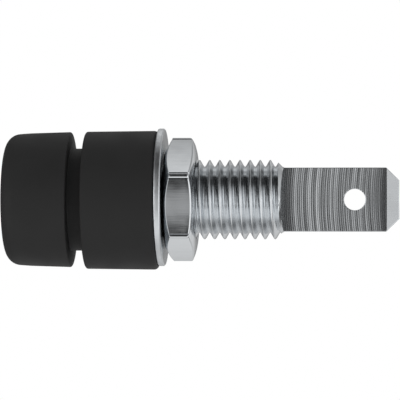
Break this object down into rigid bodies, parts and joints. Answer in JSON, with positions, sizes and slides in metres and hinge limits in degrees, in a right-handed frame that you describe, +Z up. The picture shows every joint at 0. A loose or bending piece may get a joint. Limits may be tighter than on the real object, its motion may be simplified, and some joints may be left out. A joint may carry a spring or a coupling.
{
  "type": "banana socket",
  "caption": "Insulated panel socket for 4 mm banana plugs: black moulded head and clamping bush on a nickel-plated threaded stud with a flat connecting blade, washer and hexagon nut",
  "frame": {"origin": "on the socket's axis, on the rear face of the head, which seats against the panel", "axes": "+X along the axis from the plug's mouth to the blade, the blade's plane upright in X and Z, +Z up as in the picture"},
  "size_m": [0.0293, 0.0104, 0.0105],
  "materials": {
    "nickel_plated_brass": "satin",
    "nickel_plated_steel": "satin",
    "black_plastic": "satin"
  },
  "bodies": {
    "socket": {"contact_stud": "nickel_plated_brass", "insulating_head": "black_plastic"},
    "clamp": {"insulating_bush": "black_plastic", "flat_washer": "nickel_plated_steel"},
    "nut": {"hex_nut": "nickel_plated_brass"}
  },
  "joints": [
    {"name": "clamp_travel", "type": "slide", "parent": "socket", "child": "clamp", "axis": [1, 0, 0], "range_m": [0, 0.006]},
    {"name": "nut_turn", "type": "hinge", "parent": "clamp", "child": "nut", "pos_m": [0.00822, 0, 0], "axis": [1, 0, 0], "range_deg": [0, 2880]}
  ],
  "couplings": [
    {"joint": "nut_turn", "follows": "clamp_travel", "rad_per_m": 8377.6}
  ]
}
